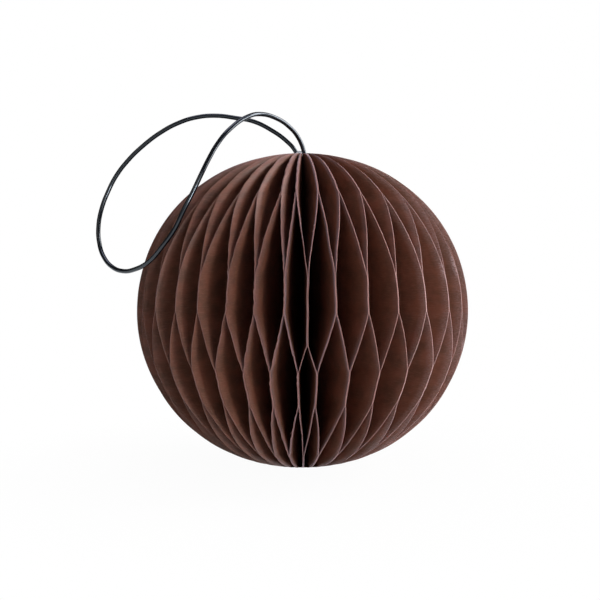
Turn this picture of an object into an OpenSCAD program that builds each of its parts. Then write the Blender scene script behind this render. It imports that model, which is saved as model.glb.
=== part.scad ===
// Honeycomb paper ball with a hanging cord.
// Half-oval paper leaves stand out from a glued spine, as the pages of a book do when its covers
// are folded right round to meet. Stripes of glue join each leaf to one neighbour at some heights
// and to the other neighbour at the heights between, so the leaf edges open into long cells.
// Origin at the middle of the ball, +Z along the spine towards the cord. The closing seam, where
// the first and last leaf meet, faces -Y. Sizes are in millimetres.

/* [Ball] */
// Width across the opened ball
ball_w = 85; // [78:0.5:94]
// Height of the leaves along the spine
ball_h = 79.5; // [76:0.5:90]
// Turn of the closing seam from the front, towards +X
seam_turn = 1.6; // [-10:0.1:10]

/* [Leaves] */
// Thickness of the paper
leaf_t = 0.13; // [0.1:0.01:0.24]
// Thickness of the glue between two joined leaves
glue_film = 0.02; // [0.01:0.005:0.04]
// Distance from the middle to the bound edge of each leaf
spine_r = 2.6; // [2.5:0.1:4]
// Width of a leaf where its two ends are cut off flat
leaf_tip = 0.8; // [0.5:0.1:2]

/* [Glue stripes] */
// Lower edge of the top stripe, which runs to the pole and joins the two leaves of a pair
top_stripe_low = 28.4; // [24:0.1:34]
// Upper edge of the stripe above the middle, which joins neighbouring pairs
upper_stripe_high = 9.4; // [8:0.1:14]
// Lower edge of the stripe above the middle
upper_stripe_low = 1.4; // [-2:0.1:5]
// Upper edge of the stripe below the middle, which joins the two leaves of a pair
lower_stripe_high = -11.5; // [-13:0.1:-8]
// Lower edge of the stripe below the middle
lower_stripe_low = -19.2; // [-24:0.1:-16]
// Upper edge of the bottom stripe, which runs to the pole and joins neighbouring pairs
bottom_stripe_high = -33; // [-35:0.1:-28]

/* [Closing seam] */
// Top of the stretch where the first and last leaf lie together
seam_high = 9.1; // [7:0.1:14]
// Bottom of that stretch
seam_low = -5.5; // [-7.5:0.1:-2]
// Width of the adhesive strip that holds them
strip_w = 9.5; // [5:0.5:14]
// Thickness of the adhesive strip
strip_t = 0.05; // [0.03:0.01:0.12]
// Distance from the strip to the leaves' outer edge
strip_inset = 1.5; // [0.5:0.1:4]

/* [Spine] */
// Radius of the hollow inside the glued spine
hollow_r = 1.8; // [1.7:0.05:2]
// Space between the glue skin and the leaves' bound edges
skin_gap = 0.05; // [0.04:0.01:0.1]
// How far the domed ends of the glue stand out past the leaves
bead_h = 0.5; // [0.3:0.05:1]
// Radius of the button of glue under the leaves' lower ends
foot_r = 3.6; // [3:0.1:5]
// Length of the glue plug that grips the two legs of the cord
plug_h = 10; // [8:0.5:14]
// Height of the flared mouth at the top of the plug
mouth_h = 4.5; // [3:0.1:6]
// Radius of the mouth at its top
mouth_r = 2; // [1.95:0.05:2.1]
// Space between the cord and the straight bore of the plug
bore_gap = 0.06; // [0.05:0.01:0.15]

/* [Cord] */
// Thickness of the round cord
cord_d = 1.1; // [0.8:0.05:1.15]
// Turns of cord in the knot
knot_turns = 3; // [2:1:4]

/* [Hidden] */
leaf_pairs = 32;
half_h = ball_h / 2;
leaf_w = ball_w / 2 - spine_r;
half_step = 180 / leaf_pairs;
seam_gap = 1.5 * strip_t;
seam_azimuth = seam_turn - 90;
// How the seam draws the leaves together, on its right and on its left: over that whole half
// of the ball, over the front quarter, and beside the seam alone. 0 is evenly spaced.
draw_right = [0.053, 0.059, 0.02];
draw_left = [0.23, 0.037, 0.02];
// Height at which the oval is only as wide as the flat-cut tip
tip_z = half_h * sqrt(1 - pow(leaf_tip / leaf_w, 2));

paper = [0.43, 0.27, 0.21];
glue = [0.88, 0.89, 0.9];
film = [0.8, 0.78, 0.7];
black = [0.06, 0.065, 0.075];

spine_top = half_h + bead_h;
plug_low = spine_top - plug_h;
bore_r = cord_d + bore_gap;
knot_h = knot_turns * cord_d;
knot_top = plug_low - bore_gap;
knot_core = cord_d;
leg_x = cord_d / 2 + 0.01;
tube_sides = 8;

// Cord's route outside the ball: up from the pole, down over the left shoulder of the ball,
// round the end of the loop and back up to the pole
loop_route = [
    [0.7, 0, 39.3], [0.4, -0.5, 40.9], [-1, -2, 44.2], [-3.5, -4.5, 46.8], [-6.5, -7.5, 48.3],
    [-10, -10.5, 48.8], [-13, -13.5, 47.8], [-17.5, -18, 43.8], [-20, -20, 40.3], [-22, -22, 36.3],
    [-23.5, -23.5, 32.8], [-25.5, -24.5, 28.3], [-27.5, -25, 24.3], [-29.5, -24.5, 20.3],
    [-32.5, -23.5, 16.3], [-36, -21, 12.8], [-40, -18, 10.8], [-43.5, -15.5, 10.3],
    [-46.5, -13.5, 11.3], [-49, -11.5, 13.8], [-50.5, -9.5, 17.3], [-51, -8, 21.3],
    [-50.5, -6.5, 25.8], [-49, -5.5, 30.3], [-47, -5, 34.3], [-44, -4.5, 38.3],
    [-40.5, -4, 41.8], [-36, -3.5, 45.3], [-31.5, -3, 47.8], [-27, -2.5, 49.3],
    [-22, -2, 49.8], [-17, -1.5, 49.3], [-12.5, -1, 48.5], [-8, -0.5, 46.4], [-4, 0, 43.6],
    [-1.8, 0, 41.1], [-1.2, 0, 39.3]
];

pair_name = function(p) str("leaf_pair_", p < 10 ? "0" : "", p);

// Width of a leaf at height z: half of an oval
function reach(z) = leaf_w * sqrt(1 - pow(z / half_h, 2));

// Angle from the seam at which the leaf edges stand, where even spacing would put them at u
function fanned(u) =
    let (draw = u < 180 ? draw_right : draw_left)
    u - (draw[0] * sin(u) + draw[1] * sin(2 * u) + draw[2] * sin(4 * u)) * 180 / PI;

function heading(a) = [cos(seam_azimuth + a), sin(seam_azimuth + a)];

function across(v) = [-v.y, v.x];

// Outer edge of a leaf that lies beside the plane bound at angle u, on the side given by shift
function glued_edge(u, z, shift) =
    spine_r * heading(u) + reach(z) * heading(fanned(u)) + shift * across(heading(fanned(u)));

// Outer edge of leaf i: lean is 0 where it is glued to its partner, and 1 where to its neighbour
function leaf_edge(i, z, lean) =
    let (
        side = i % 2 == 0 ? -1 : 1,
        partner = (i - i % 2 + 1) * half_step,
        neighbour = (i + i % 2) * half_step,
        gap = is_end(i) ? seam_gap : glue_film
    )
    (1 - lean) * glued_edge(partner, z, side * (leaf_t + glue_film) / 2)
        + lean * glued_edge(neighbour, z, -side * (leaf_t + gap) / 2);

function is_end(i) = i == 0 || i == 2 * leaf_pairs - 1;

// Stretches of a leaf from bottom to top: [from, to, lean at from, lean at to, steps]
function stretches(i) =
    let (high = is_end(i) ? seam_high : upper_stripe_high, low = is_end(i) ? seam_low : upper_stripe_low)
    [
        [-tip_z, bottom_stripe_high, 1, 1, 4],
        [bottom_stripe_high, lower_stripe_low, 1, 0, 3],
        [lower_stripe_low, lower_stripe_high, 0, 0, 1],
        [lower_stripe_high, low, 0, 1, 2],
        [low, high, 1, 1, 1],
        [high, top_stripe_low, 1, 0, 3],
        [top_stripe_low, tip_z, 0, 0, 5]
    ];

// Heights and leans along one stretch, spaced evenly round the oval
function levels(s) =
    let (a = asin(s[0] / half_h), b = asin(s[1] / half_h))
    [
        for (k = [0 : s[4] - 1])
            let (z = half_h * sin(a + (b - a) * k / s[4]))
            [z, s[2] + (s[3] - s[2]) * (z - s[0]) / (s[1] - s[0])]
    ];

// The four corners of leaf i at one height: inner and outer of one face, outer and inner of the other
function section(i, z, lean) =
    let (
        inner = spine_r * heading((i + 0.5) * half_step),
        outer = leaf_edge(i, z, lean),
        n = across(outer - inner) / norm(outer - inner) * leaf_t / 2
    )
    [
        [inner.x - n.x, inner.y - n.y, z],
        [outer.x - n.x, outer.y - n.y, z],
        [outer.x + n.x, outer.y + n.y, z],
        [inner.x + n.x, inner.y + n.y, z]
    ];

function leaf_levels(i) = concat([for (s = stretches(i)) each levels(s)], [[tip_z, 0]]);

function leaf_points(i) = [for (l = leaf_levels(i)) each section(i, l[0], l[1])];

// Eight triangles between one level and the next; both faces are split along the same diagonal
function band_faces(k) = [
    [k, k + 4, k + 5], [k, k + 5, k + 1],
    [k + 1, k + 5, k + 6], [k + 1, k + 6, k + 2],
    [k + 2, k + 6, k + 3], [k + 3, k + 6, k + 7],
    [k, k + 3, k + 7], [k, k + 7, k + 4]
];

function leaf_faces(count) = concat(
    [[0, 1, 2], [0, 2, 3]],
    [for (k = [0 : count - 2]) each band_faces(4 * k)],
    [[4 * count - 4, 4 * count - 2, 4 * count - 3], [4 * count - 4, 4 * count - 1, 4 * count - 2]]
);

module leaf(i) {
    polyhedron(points = leaf_points(i), faces = leaf_faces(len(leaf_levels(i))));
}

// Two leaves that the top stripe and the stripe below the middle join
module leaf_pair(p) {
    color(paper) {
        leaf(2 * p - 2);
        leaf(2 * p - 1);
    }
}

// Outline of a rod with domed ends, from the spine outwards, for turning about the spine
module domed_outline(r, top, rise) {
    dome_r = (r * r + rise * rise) / (2 * rise);
    translate([0, rise - top])
        square([r, 2 * (top - rise)]);
    for (end = [0, 1])
        mirror([0, end])
            intersection() {
                translate([0, top - dome_r])
                    circle(dome_r, $fn = 180);
                translate([0, top - 2 * rise])
                    square([r, 2 * rise]);
            }
}

// Skin of dried glue round the hollow of the spine, with a plug at the top that grips the cord
// and a button under the leaves' lower ends
module spine_glue() {
    skin_r = spine_r - skin_gap;
    color(glue)
        rotate_extrude($fn = 64) {
            polygon([
                [hollow_r, -half_h - skin_gap], [foot_r, -half_h - skin_gap],
                [foot_r - bead_h, -spine_top], [hollow_r, -spine_top]
            ]);
            difference() {
                domed_outline(skin_r, spine_top, bead_h);
                translate([0, -spine_top - 1])
                    square([hollow_r, spine_top + 1 + plug_low]);
                translate([0, plug_low - 1])
                    square([bore_r, plug_h + 2]);
                polygon([
                    [0, spine_top - mouth_h], [bore_r, spine_top - mouth_h],
                    [mouth_r, spine_top], [mouth_r, spine_top + 1], [0, spine_top + 1]
                ]);
            }
        }
}

// Adhesive strip that holds the first and the last leaf together
module closing_strip() {
    strip_out = reach(max(abs(seam_high), abs(seam_low))) + spine_r - strip_inset;
    color(film)
        rotate([0, 0, seam_azimuth])
            translate([strip_out - strip_w, -strip_t / 2, seam_low])
                cube([strip_w, strip_t, seam_high - seam_low]);
}

// Points between route[i] and route[i + 1] on a smooth curve through them all
function smooth_point(route, i, t) =
    let (
        last = len(route) - 1,
        a = route[max(i - 1, 0)],
        b = route[i],
        c = route[min(i + 1, last)],
        d = route[min(i + 2, last)]
    )
    0.5 * (2 * b + (c - a) * t + (2 * a - 5 * b + 4 * c - d) * t * t
        + (3 * b - 3 * c + d - a) * t * t * t);

function smooth_route(route, steps) = concat(
    [for (i = [0 : len(route) - 2]) for (s = [0 : steps - 1]) smooth_point(route, i, s / steps)],
    [route[len(route) - 1]]
);

function direction(path, i) =
    let (d = path[min(i + 1, len(path) - 1)] - path[max(i - 1, 0)])
    d / norm(d);

// Ring of points round path[i], square to the path there
function ring(path, i, r) =
    let (
        along = direction(path, i),
        across_it = cross(along, [0, 1, 0]),
        u = across_it / norm(across_it),
        v = cross(along, u)
    )
    [for (k = [0 : tube_sides - 1])
        path[i] + r * (cos(360 * k / tube_sides) * u + sin(360 * k / tube_sides) * v)];

function tube_side(i, k) =
    let (a = i * tube_sides + k, b = i * tube_sides + (k + 1) % tube_sides)
    [[a, a + tube_sides, b + tube_sides], [a, b + tube_sides, b]];

module tube(path, r) {
    last = (len(path) - 1) * tube_sides;
    polyhedron(
        points = [for (i = [0 : len(path) - 1]) each ring(path, i, r)],
        faces = concat(
            [[for (k = [0 : tube_sides - 1]) k]],
            [for (i = [0 : len(path) - 2]) for (k = [0 : tube_sides - 1]) each tube_side(i, k)],
            [[for (k = [tube_sides - 1 : -1 : 0]) last + k]]
        )
    );
}

// Loop of cord: both legs start on the knot, and pass side by side up through the glue plug
module cord_loop() {
    bore_top = spine_top - mouth_h;
    path = concat(
        [[leg_x, 0, knot_top], [leg_x, 0, (knot_top + bore_top) / 2], [leg_x, 0, bore_top]],
        smooth_route(loop_route, 2),
        [[-leg_x, 0, bore_top], [-leg_x, 0, (knot_top + bore_top) / 2], [-leg_x, 0, knot_top]]
    );
    color(black)
        tube(path, cord_d / 2);
}

// Knot that ties the two legs together under the plug, drawn as close turns of the cord
module cord_knot() {
    color(black)
        rotate_extrude($fn = 48)
            translate([0, knot_top - knot_h]) {
                square([knot_core, knot_h]);
                for (k = [0 : knot_turns - 1])
                    translate([knot_core, (k + 0.5) * cord_d])
                        circle(cord_d / 2, $fn = 32);
            }
}

for (p = [1 : leaf_pairs])
    leaf_pair(p);
spine_glue();
closing_strip();
cord_loop();
cord_knot();
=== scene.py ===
# %% [markdown]
# # A honeycomb paper ball
# This lesson dresses a measured ball of folded paper. The real thing is a stack of half-oval
# sheets, glued together in stripes, bound on one long edge and opened right round until its two
# covers meet. A frame of exact solids comes in first: it says where each leaf, the glued spine
# and the cord are. The cord and leaf pairs made here stand for those solids, in the same place;
# the other pieces ride on the same body.

# %% Load the frame
import math
import random

import bmesh
import bpy
from mathutils import Matrix, Vector, noise


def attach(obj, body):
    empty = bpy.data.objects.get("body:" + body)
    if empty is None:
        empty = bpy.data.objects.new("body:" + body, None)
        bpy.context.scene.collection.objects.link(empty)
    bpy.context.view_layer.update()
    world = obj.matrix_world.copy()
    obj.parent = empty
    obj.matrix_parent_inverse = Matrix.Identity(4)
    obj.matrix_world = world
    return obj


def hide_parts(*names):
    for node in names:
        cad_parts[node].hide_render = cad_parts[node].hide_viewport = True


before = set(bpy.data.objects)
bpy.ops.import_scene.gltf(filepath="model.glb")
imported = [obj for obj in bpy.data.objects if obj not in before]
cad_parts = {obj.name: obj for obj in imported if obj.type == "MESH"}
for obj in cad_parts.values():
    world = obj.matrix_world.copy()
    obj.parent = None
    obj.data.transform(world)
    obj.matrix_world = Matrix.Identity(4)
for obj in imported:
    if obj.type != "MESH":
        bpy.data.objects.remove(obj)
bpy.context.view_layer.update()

mm = 0.001

# %% [markdown]
# ## The ball's own sizes
# All sizes are in millimetres, and turn to metres where a vertex is placed. The leaves are half
# ovals round a spine 2.6 mm out from the middle. Stripes of glue join a leaf to its partner at
# some heights and to its other neighbour at the heights between, and the cells open there.

# %% Sizes of the ball
ball_radius = 42.5
half_height = 39.75
spine_radius = 2.6
paper_thickness = 0.13
glue_film = 0.02
seam_film = 0.075
tip_width = 0.8
leaf_pairs = 32
leaf_count = 2 * leaf_pairs
leaf_width = ball_radius - spine_radius
half_step = math.radians(180 / leaf_pairs)
seam_direction = math.radians(1.6 - 90)
tip_height = half_height * math.sqrt(1 - (tip_width / leaf_width) ** 2)
glue_button = 0.5
glue_top = half_height + glue_button

top_stripe_low = 28.4
upper_stripe = (1.4, 9.4)
seam_stripe = (-5.5, 9.1)
lower_stripe = (-19.2, -11.5)
bottom_stripe_high = -33
print(f"{leaf_count} leaves, {leaf_width:.1f} mm wide at the middle")

# %% [markdown]
# ## Camera
# The photograph looks straight at the closing seam, from a little above the middle and about
# five and a half ball radii away. A long lens with a small shift puts the ball where it stands
# in a square picture of 600 pixels.

# %% Camera
picture_size = 600
focal_pixels = 897.8
ball_pixel = (302.25, 310.2)
camera_distance = 5.5 * ball_radius * mm
camera_rise = math.radians(3)

camera_data = bpy.data.cameras.new("studio_camera")
camera_data.sensor_width = 36
camera_data.lens = focal_pixels / picture_size * camera_data.sensor_width
camera_data.shift_x = (picture_size / 2 - ball_pixel[0]) / picture_size
camera_data.shift_y = (ball_pixel[1] - picture_size / 2) / picture_size
camera_data.clip_start = 0.01
camera = bpy.data.objects.new("studio_camera", camera_data)
camera.location = camera_distance * Vector((0, -math.cos(camera_rise), math.sin(camera_rise)))
camera.rotation_euler = (math.pi / 2 - camera_rise, 0, 0)
bpy.context.scene.collection.objects.link(camera)
bpy.context.scene.camera = camera
print(f"lens {camera_data.lens:.1f} mm, {camera_distance:.3f} m from the ball")

# %% [markdown]
# ## The cord
# A round black cord about 1.1 mm thick is tied in a loop. Both ends go down through the plug of
# glue into a knot. It is stiff enough to hold its own bend, so the loop stands up from the pole,
# leans over the ball's left shoulder and comes back. A curve with a round bevel is the simplest
# true cord: its line is the cord's middle, and with a bevel depth of one, each point's radius is
# half the thickness. These are the points of the frame's own cord, so the two lie in one place.

# %% Cord loop
cord_thickness = 1.1
leg_offset = 0.56
plug_height = 10
mouth_height = 4.5
knot_gap = 0.06
knot_top = glue_top - plug_height - knot_gap
bore_top = glue_top - mouth_height
leg = [(leg_offset, 0, knot_top), (leg_offset, 0, (knot_top + bore_top) / 2),
       (leg_offset, 0, bore_top)]
loop_route = [
    (0.7, 0, 39.3), (0.4, -0.5, 40.9), (-1, -2, 44.2), (-3.5, -4.5, 46.8), (-6.5, -7.5, 48.3),
    (-10, -10.5, 48.8), (-13, -13.5, 47.8), (-17.5, -18, 43.8), (-20, -20, 40.3),
    (-22, -22, 36.3), (-23.5, -23.5, 32.8), (-25.5, -24.5, 28.3), (-27.5, -25, 24.3),
    (-29.5, -24.5, 20.3), (-32.5, -23.5, 16.3), (-36, -21, 12.8), (-40, -18, 10.8),
    (-43.5, -15.5, 10.3), (-46.5, -13.5, 11.3), (-49, -11.5, 13.8), (-50.5, -9.5, 17.3),
    (-51, -8, 21.3), (-50.5, -6.5, 25.8), (-49, -5.5, 30.3), (-47, -5, 34.3),
    (-44, -4.5, 38.3), (-40.5, -4, 41.8), (-36, -3.5, 45.3), (-31.5, -3, 47.8),
    (-27, -2.5, 49.3), (-22, -2, 49.8), (-17, -1.5, 49.3), (-12.5, -1, 48.5),
    (-8, -0.5, 46.4), (-4, 0, 43.6), (-1.8, 0, 41.1), (-1.2, 0, 39.3),
]
cord_route = leg + loop_route + [(-x, y, z) for x, y, z in reversed(leg)]

cord_curve = bpy.data.curves.new("cord_loop_round", "CURVE")
cord_curve.dimensions = "3D"
cord_curve.bevel_depth = 1
cord_curve.bevel_resolution = 7
cord_curve.resolution_u = 20
cord_curve.use_fill_caps = True
spline = cord_curve.splines.new("BEZIER")
spline.bezier_points.add(len(cord_route) - 1)
for point, place in zip(spline.bezier_points, cord_route):
    point.co = Vector(place) * mm
    point.radius = cord_thickness / 2 * mm
    point.handle_left_type = point.handle_right_type = "AUTO"
cord = bpy.data.objects.new("cord_loop_round", cord_curve)
bpy.context.scene.collection.objects.link(cord)
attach(cord, "root")
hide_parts("cord_loop")

# %% [markdown]
# ## How a leaf stands
# Angles are counted round the ball from the closing seam. Planes of glue are numbered too: an
# odd plane is where two partners are joined, an even plane is where two pairs are joined, and
# plane 0 is the seam. The seam pulls its neighbours together, so the planes are not evenly
# spread. Each plane also wanders by a degree or so, differently at its two joined heights, and
# wavers a little between them, as hand-opened paper does.

# %% How far each plane wanders
# Plane: degrees it wanders at its lower joined height, and at its upper one
wander = {
    0: (-0.9, 0), 1: (-1.6, 1.1), 2: (-2, -0.5), 3: (-0.3, 0.7), 4: (-0.2, 0.1), 5: (0, 1),
    6: (0, -0.2), 7: (-0.3, 1.5), 8: (0.3, -0.3), 9: (0.1, 2.6), 10: (0, 0.2), 11: (1, 3),
    50: (0, 0.4), 51: (-0.4, -1.5), 52: (0.4, 0.5), 53: (0.3, -0.3), 54: (-0.6, 0.8),
    55: (0.2, -0.2), 56: (-0.8, -0.5), 57: (-0.6, -0.3), 58: (-1.6, -0.3), 59: (-0.3, -0.8),
    60: (-1.1, -0.5), 61: (-0.3, 0.7), 62: (-1.3, 0.5), 63: (0.8, -0.7),
}
dice = random.Random(7)
for plane in range(12, 50):
    wander[plane] = (dice.uniform(-0.9, 0.9), dice.uniform(-0.9, 0.9))
print(len(wander), "planes of glue")

# %% Angles of the glued planes
draw_right = (0.053, 0.059, 0.02)
draw_left = (0.23, 0.037, 0.02)
waver_degrees = 0.35
waver_length = 6


def smooth_step(low, high, value):
    t = min(max((value - low) / (high - low), 0), 1)
    return t * t * (3 - 2 * t)


def spread(u):
    """Angle at which the leaf edges stand, where even spacing would put them at u."""
    draw = draw_right if u < math.pi else draw_left
    return u - draw[0] * math.sin(u) - draw[1] * math.sin(2 * u) - draw[2] * math.sin(4 * u)


def plane_angle(plane, z):
    """Angle of a glued plane at the leaves' outer edge. Each plane wavers in its own way."""
    low, high = wander[plane % leaf_count]
    if plane % 2:
        joined = (lower_stripe[0], top_stripe_low)
    else:
        joined = (bottom_stripe_high, upper_stripe[0])
    drift = low + (high - low) * smooth_step(*joined, z)
    waver = waver_degrees * noise.noise(Vector((7.3 * (plane % leaf_count), z / waver_length, 0)))
    return spread(plane * half_step) + math.radians(drift + waver)


def heading(angle):
    return Vector((math.cos(seam_direction + angle), math.sin(seam_direction + angle), 0))


def across(direction):
    return Vector((-direction.y, direction.x, 0))


def reach(z):
    """Width of a leaf at height z."""
    return leaf_width * math.sqrt(max(0, 1 - (z / half_height) ** 2))


print("planes beside the seam stand at",
      [round(math.degrees(plane_angle(p, 0)), 1) for p in (1, 2, 3, 4)], "degrees")

# %% [markdown]
# A leaf's outer edge swings between the plane that it shares with its partner and the one that
# it shares with its other neighbour. A number called lean says how far it has swung. Between
# two stripes the paper does not swing evenly: it eases away from the top of a stripe, and it
# leaves the bottom of one with a sharp little fork. A power of the distance gives both.

# %% How far a leaf leans at each height
# From, to, lean at from, lean at to, power, rows of faces
def stretches(leaf):
    low, high = seam_stripe if leaf in (0, leaf_count - 1) else upper_stripe
    return [
        (-tip_height, bottom_stripe_high, 1, 1, 1, 18),
        (bottom_stripe_high, lower_stripe[0], 1, 0, 0.95, 18),
        (lower_stripe[0], lower_stripe[1], 0, 0, 1, 10),
        (lower_stripe[1], low, 0, 1, 1, 18),
        (low, high, 1, 1, 1, 10),
        (high, top_stripe_low, 1, 0, 1.25, 24),
        (top_stripe_low, tip_height, 0, 0, 1, 22),
    ]


def leaf_rows(leaf):
    """Height and lean of every row of vertices, spaced evenly round the oval."""
    rows = []
    for low, high, lean_low, lean_high, power, count in stretches(leaf):
        a, b = math.asin(low / half_height), math.asin(high / half_height)
        for k in range(count):
            z = half_height * math.sin(a + (b - a) * k / count)
            swung = ((z - low) / (high - low)) ** power
            rows.append((z, lean_low + (lean_high - lean_low) * swung))
    return rows + [(tip_height, 0)]


def edge_place(leaf, z, lean):
    """Middle of the paper at a leaf's outer edge."""
    side = -1 if leaf % 2 == 0 else 1
    partner, neighbour = leaf - leaf % 2 + 1, leaf + leaf % 2
    film = seam_film if leaf in (0, leaf_count - 1) else glue_film
    place = Vector()
    for plane, share, shift in ((partner, 1 - lean, side * (paper_thickness + glue_film) / 2),
                                (neighbour, lean, -side * (paper_thickness + film) / 2)):
        out = heading(plane_angle(plane, z))
        place += share * (spine_radius * heading(plane * half_step) + reach(z) * out
                          + shift * across(out))
    return place


print(len(leaf_rows(0)) - 1, "rows of faces up each leaf")

# %% [markdown]
# Die-cut paper keeps a set along its cut edge: the outer few millimetres of every leaf curl away
# from the seam, most near the top. On the left of the ball the curl is strong and turns the
# margin to the light as a soft band, and on the right it is slight and leaves a crisp line. The
# edge itself stays in its plane, so the curl is made by moving the rest of the leaf over, and
# letting that fade towards the spine. Leaves that are glued at some height curl alike there,
# because the share of curl belongs to the plane of glue.

# %% Curl of the cut edge
curl_width = 2.6
curl_least = 0.3
curl_more_high = 0.55
curl_more_low = 0.1
full_curl_width = 14
no_curl_width = 0.5


def curl_depth(z):
    """How far the flat of the leaf stands to the side of its edge."""
    return (curl_least + curl_more_high * smooth_step(4, 30, z)
            + curl_more_low * smooth_step(-10, -34, z))


# Plane, and how far the leaves joined there are curled towards the seam's right
curl_shares = ((0, 0), (1, -0.15), (4, -0.35), (16, -0.35), (40, 1), (61, 1), (63, 0.35), (64, 0))


def curl_share(plane):
    for (low, start), (high, end) in zip(curl_shares, curl_shares[1:]):
        if plane <= high:
            return start + (end - start) * (plane - low) / (high - low)


def at_planes(leaf, lean, value):
    """A value that belongs to planes of glue, blended for a leaf that leans between two."""
    return (1 - lean) * value(leaf - leaf % 2 + 1) + lean * value(leaf + leaf % 2)


def curl_offset(from_edge, width, depth):
    """How far a point of the leaf is moved over. The narrow ends of a leaf curl less."""
    if width < no_curl_width:
        return 0
    near = min(curl_width, 0.3 * width)
    depth *= min(1, width / full_curl_width)
    return depth * (1 - from_edge / width - max(0, 1 - from_edge / near) ** 2)


print(f"the curl stands {curl_depth(30):.2f} mm proud near the top,",
      f"{curl_depth(0):.2f} mm at the middle")

# %% [markdown]
# ## Leaves
# A cut edge wobbles a little, and more on the few leaves left of the seam where the knife tore
# the paper. A second number says how much pale mauve is painted on: painted highlights in a few
# patches where a margin catches the light, and a faint painted sheen along the margins of the
# right-hand leaves.

# %% Ragged cuts and painted highlights on the margins
# Plane: how far its cut edges wobble to the side, where the knife tore them
torn = {55: 0.18, 57: 0.18, 58: 0.22, 59: 0.2, 60: 0.3, 61: 0.28, 62: 0.24, 63: 0.2}
clean_cut = 0.09
wobble_length = 0.85
# Leaf: height, half height, depth from the edge and strength of a pale patch of painted highlight
painted_highlights = {9: (10.8, 3, 0.8, 1.2), 11: (11.6, 3.4, 0.9, 1.2), 5: (9, 1.6, 0.7, 0.4),
          57: (9.5, 1.8, 0.7, 0.6), 13: (-8, 2, 0.8, 0.8)}
# Leaves whose whole margin gets a faint painted sheen, how much, and how far in
sheen_painted_leaves = range(7, 17)
painted_sheen_level = 0.3
painted_sheen_width = 2


def wobble(z):
    return lambda plane: (torn.get(plane, clean_cut)
                          * noise.noise(Vector((3.7 * (plane % leaf_count), z / wobble_length, 1))))


def painted_highlight_at(leaf, z, from_edge):
    """How much pale mauve is painted on as highlight and sheen, from 0 to 1."""
    middle, half, depth, strength = painted_highlights.get(leaf, (0, 1, 1, 0))
    highlighted = strength * max(0, 1 - abs(z - middle) / half) * max(0, 1 - from_edge / depth)
    # A faint painted sheen along the margins of the right-hand leaves
    if leaf in sheen_painted_leaves:
        highlighted += painted_sheen_level * max(0, 1 - from_edge / painted_sheen_width)
    return min(1, highlighted)


print(f"at 10 mm up, leaf 9 is rubbed by {painted_highlight_at(9, 10, 0.1):.2f} at its edge")

# %% [markdown]
# Each sheet could be cut and bent by hand in the editor, but there are 64 of them, all a little
# different, so one function bends a flat grid of faces by the rules above. Each vertex of the
# grid keeps its row and column: the row says its height, and the column how far it lies from the
# spine. Columns crowd towards the cut edge, where the curl is. The map that the grain follows is
# laid in millimetres, the same on every leaf apart from where it starts.
#
# Two numbers are stored with the vertices for the paper's finish to read: how much painted
# highlight and sheen a vertex gets, and bloom, which is 1 at the cut edge and fades over the outer
# few millimetres, where handling has raised the paper's nap.

# %% One sheet
columns = 16
crowding = 1.7
wobble_width = 1.2
ripple_height = 0.12
tip_drawn_out = 0.45
bloom_width = 1.7
map_step = 60


def add_leaf(bm, leaf):
    rows = leaf_rows(leaf)
    grid = bmesh.ops.create_grid(bm, x_segments=columns, y_segments=len(rows) - 1, size=1)
    map_layer = bm.loops.layers.uv["grain"]
    highlight_layer = bm.verts.layers.float["painted_light"]
    bloom_layer = bm.verts.layers.float["bloom"]
    bound = spine_radius * heading((leaf + 0.5) * half_step)
    laid = {}
    for v in grid["verts"]:
        column = round((v.co.x + 1) / 2 * columns)
        z, lean = rows[round((v.co.y + 1) / 2 * (len(rows) - 1))]
        edge = edge_place(leaf, z, lean)
        width = (edge - bound).length
        from_edge = width * (1 - column / columns) ** crowding
        sideways = across((edge - bound).normalized())
        place = edge + (bound - edge) * from_edge / width
        curled = at_planes(leaf, lean, curl_share) * curl_offset(from_edge, width, curl_depth(z))
        uneven = at_planes(leaf, lean, wobble(z)) * max(0, 1 - from_edge / wobble_width)
        place += (curled + uneven) * sideways
        # Ripples die out at the stripes of glue, and the tips are drawn out along the spine
        ripple = ripple_height * noise.noise(Vector((leaf * 5.1, z / 7, from_edge / 9)))
        place += ripple * 4 * lean * (1 - lean) * min(1, from_edge / 4) * sideways
        drawn_out = (tip_drawn_out * max(0, 1 - place.length / 12)
                     * smooth_step(34, 39, abs(z)))
        place.z = z + math.copysign(drawn_out, z)
        v.co = place * mm
        # How much painted highlight and painted sheen this vertex gets
        v[highlight_layer] = painted_highlight_at(leaf, z, from_edge)
        v[bloom_layer] = max(0, 1 - from_edge / bloom_width)
        laid[v] = (from_edge + map_step * leaf, z)
    for face in {f for v in grid["verts"] for f in v.link_faces}:
        face.smooth = True
        for loop in face.loops:
            loop[map_layer].uv = laid[loop.vert]


print("a sheet has", columns * (len(leaf_rows(0)) - 1), "faces")

# %% [markdown]
# Two sheets make a pair. A Solidify modifier gives them the paper's real thickness, half to each
# side, with the new rim in a second material for the paler cut edge. Afterwards the modifier is
# made plain mesh, so that the corners between face and rim can be marked sharp.

# %% A pair of sheets
crisp_angle = math.radians(40)


def make_piece(bm, name, *finishes):
    """An object made of a bmesh, with its finishes."""
    mesh = bpy.data.meshes.new(name)
    bm.to_mesh(mesh)
    bm.free()
    for finish in finishes:
        mesh.materials.append(finish)
    piece = bpy.data.objects.new(name, mesh)
    bpy.context.scene.collection.objects.link(piece)
    return piece


def leaf_pair(number, *finishes):
    bm = bmesh.new()
    bm.loops.layers.uv.new("grain")
    bm.verts.layers.float.new("painted_light")
    bm.verts.layers.float.new("bloom")
    for leaf in (2 * number - 2, 2 * number - 1):
        add_leaf(bm, leaf)
    pair = make_piece(bm, f"paper_pair_{number:02d}", *finishes)
    solidify = pair.modifiers.new("paper thickness", "SOLIDIFY")
    solidify.thickness = paper_thickness * mm
    solidify.offset = 0
    solidify.material_offset_rim = 1
    return pair


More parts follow.
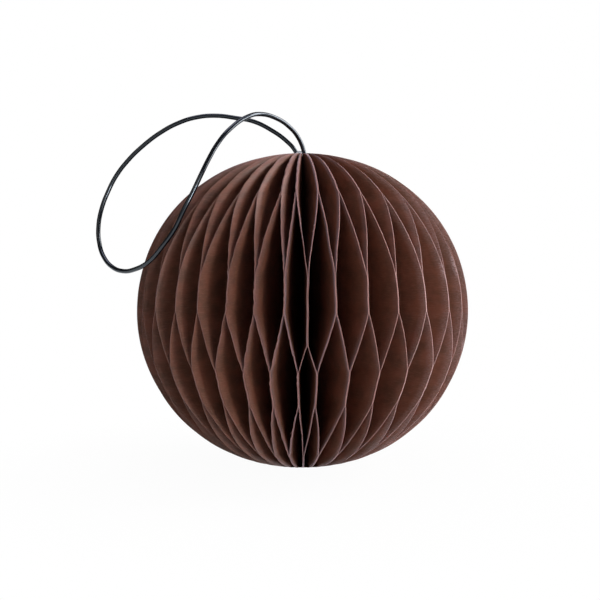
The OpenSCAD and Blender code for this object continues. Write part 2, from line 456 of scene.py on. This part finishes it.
def keep_modifiers(piece):
    """Turn a piece's modifiers into plain mesh, and keep its corners crisp."""
    finished = piece.evaluated_get(bpy.context.evaluated_depsgraph_get())
    solid = bpy.data.meshes.new_from_object(finished)
    solid.name = piece.data.name
    piece.modifiers.clear()
    piece.data = solid
    solid.set_sharp_from_angle(angle=crisp_angle)


print(f"a sheet becomes {paper_thickness} mm thick")

# %% [markdown]
# ## Paper
# The paper is dyed through, matt and reddish brown. Its fibres run across the leaf, so the grain
# is a noise stretched along the map's first direction, over broader clouds of redder and browner
# dye. Where the vertices ask for it, a pale mauve is painted over this as highlight and sheen,
# broken up by the same grain. A photograph of paper could be laid on instead, but noise has no
# edge or repeat, and its colours stay easy to change. The face and the cut edge share all this, so
# it is a node group, built once and placed in each finish with its own colours. It takes a place on
# the map and the amount of painted highlight, and puts out a colour and a height.

# %% Grain of the paper
def set_values(node, **values):
    """Set a node's settings and input values by name: roughness, from_min, A."""
    for name, value in values.items():
        if hasattr(node, name):
            setattr(node, name, value)
        else:
            title = name.replace("_", " ").title() if name.islower() else name
            node.inputs[title].default_value = value


def add_node(tree, kind, **values):
    node = tree.nodes.new(kind)
    set_values(node, **values)
    return node


def link(tree, start, end):
    tree.links.new(start, end)


paper_group = bpy.data.node_groups.new("dyed paper", "ShaderNodeTree")
for name, kind in (("Place", "Vector"), ("Painted Light", "Float"), ("Darker Dye", "Color"),
                   ("Redder Dye", "Color"), ("Fibre Colour", "Color")):
    paper_group.interface.new_socket(name, in_out="INPUT", socket_type="NodeSocket" + kind)
for name, kind in (("Colour", "Color"), ("Height", "Float")):
    paper_group.interface.new_socket(name, in_out="OUTPUT", socket_type="NodeSocket" + kind)
group_in = paper_group.nodes.new("NodeGroupInput")
group_out = paper_group.nodes.new("NodeGroupOutput")

# name: scale along and up, noise detail
layers = {"clouds": ((0.17, 0.26), 4), "fibres": ((0.5, 3.6), 6), "height": ((1.4, 4.5), 6)}
grain = {}
for layer, (scale, detail) in layers.items():
    stretch = add_node(paper_group, "ShaderNodeMapping", scale=(*scale, 1))
    pattern = add_node(paper_group, "ShaderNodeTexNoise", scale=1.0, detail=detail, roughness=0.6)
    link(paper_group, group_in.outputs["Place"], stretch.inputs["Vector"])
    link(paper_group, stretch.outputs["Vector"], pattern.inputs["Vector"])
    grain[layer] = pattern.outputs["Fac"]
link(paper_group, grain["height"], group_out.inputs["Height"])
print("the grain has", *grain)

# %% Dye, fibres and painted highlights
# Pale mauve of the painted highlights and painted sheen
painted_highlight_colour = (0.62, 0.46, 0.46, 1)
cloudy = add_node(paper_group, "ShaderNodeMapRange", from_min=0.4, from_max=0.62)
dyed = add_node(paper_group, "ShaderNodeMix", data_type="RGBA")
link(paper_group, grain["clouds"], cloudy.inputs["Value"])
link(paper_group, cloudy.outputs["Result"], dyed.inputs["Factor"])
link(paper_group, group_in.outputs["Darker Dye"], dyed.inputs["A"])
link(paper_group, group_in.outputs["Redder Dye"], dyed.inputs["B"])

streaky = add_node(paper_group, "ShaderNodeMapRange", from_min=0.5, from_max=0.8, to_max=0.6)
lined = add_node(paper_group, "ShaderNodeMix", data_type="RGBA")
link(paper_group, grain["fibres"], streaky.inputs["Value"])
link(paper_group, streaky.outputs["Result"], lined.inputs["Factor"])
link(paper_group, dyed.outputs["Result"], lined.inputs["A"])
link(paper_group, group_in.outputs["Fibre Colour"], lined.inputs["B"])

# Painted highlight and sheen: pale mauve, broken up by the grain
broken = add_node(paper_group, "ShaderNodeMapRange", from_min=0.35, from_max=0.65, to_max=1.3)
painted_patches = add_node(paper_group, "ShaderNodeMath", operation="MULTIPLY", use_clamp=True)
pale = add_node(paper_group, "ShaderNodeMix", data_type="RGBA", B=painted_highlight_colour)
link(paper_group, grain["height"], broken.inputs["Value"])
link(paper_group, group_in.outputs["Painted Light"], painted_patches.inputs[0])
link(paper_group, broken.outputs["Result"], painted_patches.inputs[1])
link(paper_group, painted_patches.outputs["Value"], pale.inputs["Factor"])
link(paper_group, lined.outputs["Result"], pale.inputs["A"])
link(paper_group, pale.outputs["Result"], group_out.inputs["Colour"])
print("the paper's group puts out", [socket.name for socket in group_out.inputs if socket.name])

# %% [markdown]
# The raised nap of the margins is a sheen, which shows mauve where light grazes it. The sheets
# are so thin that some light passes through. A translucent shader mixed in would be truer, but
# it wouldn't be exported, so a little subsurface scattering stands for it.

# %% Paper face and cut edge
def new_material(name):
    material = bpy.data.materials.new(name)
    material.use_nodes = True
    tree = material.node_tree
    return material, tree, tree.nodes["Principled BSDF"]


def paper_finish(name, darker, redder, fibres, roughness, bump, bloom):
    material, tree, shader = new_material(name)
    place = add_node(tree, "ShaderNodeUVMap", uv_map="grain")
    # How much painted highlight and sheen the vertices ask for
    highlighted = add_node(tree, "ShaderNodeAttribute", attribute_name="painted_light")
    paper = add_node(tree, "ShaderNodeGroup", node_tree=paper_group, darker_dye=darker,
                     redder_dye=redder, fibre_colour=fibres)
    relief = add_node(tree, "ShaderNodeBump", strength=bump, distance=0.02 * mm)
    link(tree, place.outputs["UV"], paper.inputs["Place"])
    link(tree, highlighted.outputs["Fac"], paper.inputs["Painted Light"])
    link(tree, paper.outputs["Colour"], shader.inputs["Base Color"])
    link(tree, paper.outputs["Height"], relief.inputs["Height"])
    link(tree, relief.outputs["Normal"], shader.inputs["Normal"])

    fluffy = add_node(tree, "ShaderNodeAttribute", attribute_name="bloom")
    fluff = add_node(tree, "ShaderNodeMath", operation="MULTIPLY")
    fluff.inputs[1].default_value = bloom
    link(tree, fluffy.outputs["Fac"], fluff.inputs[0])
    link(tree, fluff.outputs["Value"], shader.inputs["Sheen Weight"])
    set_values(shader, roughness=roughness, sheen_roughness=0.4, sheen_tint=(0.95, 0.84, 1, 1),
               subsurface_weight=0.6, subsurface_radius=(1, 0.85, 0.75),
               subsurface_scale=0.15 * mm)
    return material


paper_face = paper_finish("paper face", (0.17, 0.073, 0.044, 1), (0.25, 0.094, 0.057, 1),
                          (0.36, 0.17, 0.12, 1), roughness=0.55, bump=1.0, bloom=1.0)
cut_edge = paper_finish("cut edge", (0.33, 0.165, 0.145, 1), (0.40, 0.20, 0.178, 1),
                        (0.56, 0.37, 0.35, 1), roughness=0.75, bump=0.4, bloom=0.5)
print("finishes:", paper_face.name, "and", cut_edge.name)

# %% [markdown]
# ## All the leaf pairs
# Both materials go on before the modifier is applied, because the rim takes the second one. A
# pair rides on the root body, and stands for the frame's pair of the same number.

# %% Leaf pairs
for number in range(1, leaf_pairs + 1):
    pair = leaf_pair(number, paper_face, cut_edge)
    keep_modifiers(pair)
    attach(pair, "root")
    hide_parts(f"leaf_pair_{number:02d}")
print(leaf_pairs, "pairs, each with", len(pair.data.polygons), "faces")

# %% [markdown]
# ## Burrs
# Die-cut paper is never quite clean. Here and there a torn fibre stands out of a cut edge, and on
# two edges at the right the paper is scuffed into a pale fringe. Every burr is a short tapered
# hair of five sides, drawn out in three steps that each bend a little further. A hair system
# could grow them too, but plain mesh lets each one be put where it is seen.

# %% One torn fibre
hair_sides = 5
hair_steps = 3
hair_taper = 0.62
hair_bend = 0.45


def lean_at(leaf, z):
    """A leaf's lean at any height, between the rows."""
    rows = leaf_rows(leaf)
    for (z0, lean0), (z1, lean1) in zip(rows, rows[1:]):
        if z <= z1:
            return lean0 + (lean1 - lean0) * (z - z0) / (z1 - z0)
    return 0


def add_hair(bm, leaf, z, length, thickness, sideways):
    """A hair that starts just inside a cut edge and bends further to one side."""
    root = edge_place(leaf, z, lean_at(leaf, z))
    root.z = z
    out = (root + Vector((0, 0, 0.3 * z))).normalized()
    way = out * 0.5 + across(out) * sideways + Vector((0, 0, dice.uniform(-0.5, 0.5)))
    way.normalize()
    turn = way.to_track_quat("Z", "Y").to_matrix().to_4x4()
    start = Matrix.Translation((root - 0.15 * thickness * way) * mm) @ turn
    ring = bmesh.ops.create_circle(bm, cap_ends=True, segments=hair_sides,
                                   radius=thickness / 2 * mm, matrix=start)["verts"]
    centre = start.translation
    edges = {e for v in ring for e in v.link_edges}
    for step in range(hair_steps):
        grown = bmesh.ops.extrude_edge_only(bm, edges=list(edges))["geom"]
        ring = [v for v in grown if isinstance(v, bmesh.types.BMVert)]
        edges = {e for v in ring for e in v.link_edges if all(w in ring for w in e.verts)}
        bmesh.ops.translate(bm, verts=ring, vec=way * (length / hair_steps * mm))
        centre = centre + way * (length / hair_steps * mm)
        bmesh.ops.scale(bm, verts=ring, vec=(hair_taper,) * 3, space=Matrix.Translation(-centre))
        way = (way + hair_bend * across(out) * (1 if sideways > 0 else -1)
               + Vector((0, 0, dice.uniform(-0.4, 0.4)))).normalized()
    bmesh.ops.contextual_create(bm, geom=list(edges))


print(f"a hair ends at {hair_taper ** hair_steps:.2f} of its first thickness")

# %% Torn fibres on the cut edges
# Leaf, height, length, thickness, and how far it leans to the right (or left, below 0)
burrs = [(0, 20.4, 0.5, 0.16, -0.8), (0, 19.0, 0.6, 0.16, -0.7), (5, 22.2, 0.7, 0.16, -1.2),
         (5, 22.9, 0.5, 0.14, -1), (7, 17.9, 1.1, 0.2, -1.6), (7, 17.5, 0.5, 0.14, -1),
         (3, 11.4, 0.5, 0.22, -0.6), (62, -25.8, 0.7, 0.16, -1), (60, -22.6, 0.6, 0.16, 1),
         (58, 19.0, 0.5, 0.16, -0.9), (62, 23.4, 0.5, 0.14, -1), (60, 17.4, 0.5, 0.14, -1),
         (57, -2.2, 0.5, 0.14, 0.8), (60, -14.0, 0.4, 0.14, -1), (55, -6.0, 0.4, 0.14, -1)]
fringe_hairs = 8
stray_hairs = 150
for leaf, low, high in ((11, 9.6, 14.2), (9, 9.4, 12)):
    for k in range(fringe_hairs):
        burrs.append((leaf, low + (high - low) * k / (fringe_hairs - 1), dice.uniform(0.2, 0.5),
                      dice.uniform(0.06, 0.12), dice.uniform(-1.4, -0.6)))
for k in range(stray_hairs):
    burrs.append((dice.randrange(leaf_count), dice.uniform(-33, 24), dice.uniform(0.15, 0.4),
                  dice.uniform(0.04, 0.09), dice.uniform(-1.2, 1.2)))
bm = bmesh.new()
map_layer = bm.loops.layers.uv.new("grain")
for burr in burrs:
    add_hair(bm, *burr)
bmesh.ops.recalc_face_normals(bm, faces=bm.faces)
for face in bm.faces:
    for loop in face.loops:
        loop[map_layer].uv = (loop.vert.co.x / mm, loop.vert.co.z / mm)
fibres = make_piece(bm, "edge_fibres", cut_edge)
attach(fibres, "root")
print(len(burrs), "burrs")

# %% [markdown]
# ## Cord, glue and closing strip
# The cord is black and smooth under a thin coat of wax, so it takes a narrow cool shine. The glue
# at the pole dried milky white with a soft gloss; lower down it has drawn in the paper's dye, and
# is brown and dull, and at the foot that dark brown is also painted shade. The strip in the seam is
# a thin dull film. The knot, the glue and the strip keep the frame's own shapes and take these
# finishes.

# %% Cord finish
cord_black, tree, shader = new_material("waxed black cord")
place = add_node(tree, "ShaderNodeTexCoord")
wax = add_node(tree, "ShaderNodeTexNoise", scale=260.0, detail=3.0)
link(tree, place.outputs["Object"], wax.inputs["Vector"])
worn = add_node(tree, "ShaderNodeMapRange", to_min=0.12, to_max=0.26)
link(tree, wax.outputs["Fac"], worn.inputs["Value"])
link(tree, worn.outputs["Result"], shader.inputs["Roughness"])
set_values(shader, base_color=(0.003, 0.0035, 0.005, 1), specular_tint=(0.7, 0.85, 1, 1),
           coat_weight=0.5, coat_roughness=0.08, coat_tint=(0.8, 0.9, 1, 1))
shader.inputs["Coat IOR"].default_value = 1.6
cord.data.materials.append(cord_black)
print("the cord is", cord_black.name)

# %% Glue finish
dried_glue, tree, shader = new_material("dried white glue")
place = add_node(tree, "ShaderNodeTexCoord")
lumps = add_node(tree, "ShaderNodeTexNoise", scale=700.0, detail=4.0)
link(tree, place.outputs["Object"], lumps.inputs["Vector"])
milky = add_node(tree, "ShaderNodeMix", data_type="RGBA",
                 A=(0.62, 0.66, 0.72, 1), B=(0.85, 0.87, 0.90, 1))
link(tree, lumps.outputs["Fac"], milky.inputs["Factor"])

# Dark brown below the leaves' upper tips, and clean over them: the dye's stain, and at the foot
# also painted shade
height = add_node(tree, "ShaderNodeSeparateXYZ")
link(tree, place.outputs["Object"], height.inputs["Vector"])
clean = add_node(tree, "ShaderNodeMapRange", from_min=39.2 * mm, from_max=40.2 * mm)
link(tree, height.outputs["Z"], clean.inputs["Value"])
stain_and_painted_shade = add_node(tree, "ShaderNodeMix", data_type="RGBA", A=(0.10, 0.045, 0.032, 1))
link(tree, clean.outputs["Result"], stain_and_painted_shade.inputs["Factor"])
link(tree, milky.outputs["Result"], stain_and_painted_shade.inputs["B"])
link(tree, stain_and_painted_shade.outputs["Result"], shader.inputs["Base Color"])

swell = add_node(tree, "ShaderNodeBump", strength=0.6, distance=0.15 * mm)
link(tree, lumps.outputs["Fac"], swell.inputs["Height"])
link(tree, swell.outputs["Normal"], shader.inputs["Normal"])
dullness = add_node(tree, "ShaderNodeMapRange", to_min=0.9, to_max=0.35)
link(tree, clean.outputs["Result"], dullness.inputs["Value"])
link(tree, dullness.outputs["Result"], shader.inputs["Roughness"])
shader.inputs["Specular IOR Level"].default_value = 0.3
print("the glue is", dried_glue.name)

# %% Strip finish
strip_film, tree, shader = new_material("adhesive film")
place = add_node(tree, "ShaderNodeTexCoord")
haze = add_node(tree, "ShaderNodeTexNoise", scale=500.0, detail=3.0)
link(tree, place.outputs["Object"], haze.inputs["Vector"])
dull = add_node(tree, "ShaderNodeMix", data_type="RGBA",
                A=(0.40, 0.34, 0.24, 1), B=(0.55, 0.50, 0.40, 1))
link(tree, haze.outputs["Fac"], dull.inputs["Factor"])
link(tree, dull.outputs["Result"], shader.inputs["Base Color"])
set_values(shader, roughness=0.5)
print("the strip is", strip_film.name)

# %% Finishes on the frame's own solids
for name, finish in (("cord_knot", cord_black), ("spine_glue", dried_glue),
                     ("closing_strip", strip_film)):
    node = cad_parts[name]
    node.data.materials.clear()
    node.data.materials.append(finish)
print("knot, glue and strip have their finishes")

# %% [markdown]
# ## Drop of glue at the pole
# Where the strands leave the plug, a pale drop of glue stands between them. It is barely two
# millimetres wide, so nothing finer is needed than a small sphere, flattened and made a little
# lumpy with noise.

# %% Drop of glue between the strands
drop_centre = Vector((-0.75, 0, 40.5))
drop_size = Vector((1.15, 0.9, 0.65))
drop_lumps = 0.12
bm = bmesh.new()
bmesh.ops.create_uvsphere(bm, u_segments=28, v_segments=16, radius=1)
for v in bm.verts:
    lumpy = 1 + drop_lumps * noise.noise(2.3 * v.co)
    v.co = (drop_centre + drop_size * v.co * lumpy) * mm
for face in bm.faces:
    face.smooth = True
drop = make_piece(bm, "pole_glue_drop", dried_glue)
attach(drop, "root")
drop_top = max(v.co.z for v in drop.data.vertices) / mm
print(f"the drop stands {drop_top - half_height:.2f} mm over the leaves")

# %% [markdown]
# ## Foot of glue
# At the bottom the tips of the leaves are pressed together and their gaps are filled with glue
# that has taken the paper's dye. Its dark brown also stands for the shade under the tips, so the
# foot is partly painted shade. A flat disc would stand out under the tips or lie too deep
# between them, so a flattened sphere is bent until its underside follows the leaves' lower edges,
# and its middle is drawn down a little into a rounded point.

# %% Foot of glue over the lower tips
foot_radius = 11.5
foot_thickness = 1
point_radius = 5.6
point_depth = 0.42
bm = bmesh.new()
bmesh.ops.create_uvsphere(bm, u_segments=64, v_segments=24, radius=1)
for v in bm.verts:
    out = foot_radius * math.hypot(v.co.x, v.co.y)
    leaf_tips = -half_height * math.sqrt(1 - (max(0, out - spine_radius) / leaf_width) ** 2)
    lift = foot_thickness * max(0, v.co.z) - point_depth * max(0, 1 - out / point_radius)
    v.co = Vector((foot_radius * v.co.x, foot_radius * v.co.y, leaf_tips + lift)) * mm
for face in bm.faces:
    face.smooth = True
foot = make_piece(bm, "foot_glue_and_shade", dried_glue)
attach(foot, "root")
print("the foot reaches", round(min(v.co.z for v in foot.data.vertices) / mm, 2), "mm")

# %% [markdown]
# ## Floor
# The picture is a product shot on white. One sheet serves as floor and backdrop. A floor lit to
# pure white would need strong lamps that also light the ball, so this one glows: to the camera
# it shows nearly as plain white, but near the ball a share of it stays a real surface, so the
# ball's soft shadow is kept. Light Path tells the camera's rays and those of reflections from the
# rays that carry light, so this white adds no light to the ball.

# %% Floor
floor_gap = 0.2
floor_reach = 3
floor_height = -(glue_top + floor_gap) * mm
bm = bmesh.new()
bmesh.ops.create_grid(bm, x_segments=1, y_segments=1, size=floor_reach)
bmesh.ops.translate(bm, verts=bm.verts, vec=(0, 0, floor_height))
floor = make_piece(bm, "floor")
print(f"the floor lies {-floor_height / mm:.2f} mm under the ball's middle")

# %% Floor finish
# How much of it is plain white: 0.95 beside the ball, and all from 100 mm out
floor_white, tree, shader = new_material("floor white")
set_values(shader, base_color=(0.85, 0.85, 0.85, 1), roughness=0.9)
shine = add_node(tree, "ShaderNodeEmission")
seen = add_node(tree, "ShaderNodeLightPath")
either = add_node(tree, "ShaderNodeMath", operation="MAXIMUM")
share = add_node(tree, "ShaderNodeMath", operation="MULTIPLY")
place = add_node(tree, "ShaderNodeTexCoord")
away = add_node(tree, "ShaderNodeVectorMath", operation="LENGTH")
fade = add_node(tree, "ShaderNodeMapRange", from_min=20 * mm, from_max=100 * mm, to_min=0.95)
link(tree, place.outputs["Object"], away.inputs[0])
link(tree, away.outputs["Value"], fade.inputs["Value"])
link(tree, fade.outputs["Result"], share.inputs[1])
mix = add_node(tree, "ShaderNodeMixShader")
link(tree, seen.outputs["Is Camera Ray"], either.inputs[0])
link(tree, seen.outputs["Is Glossy Ray"], either.inputs[1])
link(tree, either.outputs["Value"], share.inputs[0])
link(tree, share.outputs["Value"], mix.inputs["Fac"])
link(tree, shader.outputs["BSDF"], mix.inputs[1])
link(tree, shine.outputs["Emission"], mix.inputs[2])
link(tree, mix.outputs["Shader"], tree.nodes["Material Output"].inputs["Surface"])
floor.data.materials.append(floor_white)
print("the floor is", floor_white.name)

# %% [markdown]
# ## Light
# The room itself is dim, so the cells stay dark inside. The main light is a broad softbox to the
# right and a little behind the ball, which skims the edges and shines into the cells from one
# side. A weaker one at the front right lights the right-hand leaves, a cool one overhead gives
# the top its mauve cast, a faint one fills the left, and a small lamp draws the narrow shine
# along the cord.

# %% World
room_level = 0.07
world = bpy.data.worlds.new("studio world")
bpy.context.scene.world = world
world.use_nodes = True
tree = world.node_tree
backdrop = tree.nodes["Background"]
backdrop.inputs["Color"].default_value = (1, 1, 1, 1)
seen = add_node(tree, "ShaderNodeLightPath")
either = add_node(tree, "ShaderNodeMath", operation="MAXIMUM")
level = add_node(tree, "ShaderNodeMapRange", to_min=room_level)
link(tree, seen.outputs["Is Camera Ray"], either.inputs[0])
link(tree, seen.outputs["Is Transmission Ray"], either.inputs[1])
link(tree, either.outputs["Value"], level.inputs["Value"])
link(tree, level.outputs["Result"], backdrop.inputs["Strength"])
print("the room is lit at", room_level)

# %% Lamps
lamp_distance = 0.85


def add_lamp(name, azimuth, elevation, size, level, colour):
    """A soft lamp. Level is how bright it makes a white sheet that faces it."""
    light = bpy.data.lights.new(name, "AREA")
    light.shape = "RECTANGLE"
    light.size, light.size_y = size
    light.energy = level * math.pi ** 2 * lamp_distance ** 2
    light.color = colour
    lamp = bpy.data.objects.new(name, light)
    around, up = math.radians(azimuth - 90), math.radians(elevation)
    lamp.location = lamp_distance * Vector((math.cos(up) * math.cos(around),
                                            math.cos(up) * math.sin(around), math.sin(up)))
    lamp.rotation_euler = lamp.location.to_track_quat("Z", "Y").to_euler()
    bpy.context.scene.collection.objects.link(lamp)


# Azimuth is counted from the camera's side, to the right
add_lamp("right_softbox", 100, 21, (0.45, 0.8), 1.5, (1, 0.98, 0.98))
add_lamp("front_softbox", 36, 6, (0.45, 0.45), 0.34, (1, 0.98, 0.96))
add_lamp("overhead_softbox", 0, 88, (0.5, 0.5), 0.24, (0.85, 0.82, 1))
add_lamp("left_fill", -30, 32, (0.5, 0.5), 0.09, (1, 0.95, 0.9))
add_lamp("small_lamp", 36, 3, (0.1, 0.1), 0.18, (0.9, 0.95, 1))
bpy.context.scene.view_settings.view_transform = "Standard"
print(len(bpy.data.lights), "lamps")

# %% Update the scene
bpy.context.view_layer.update()
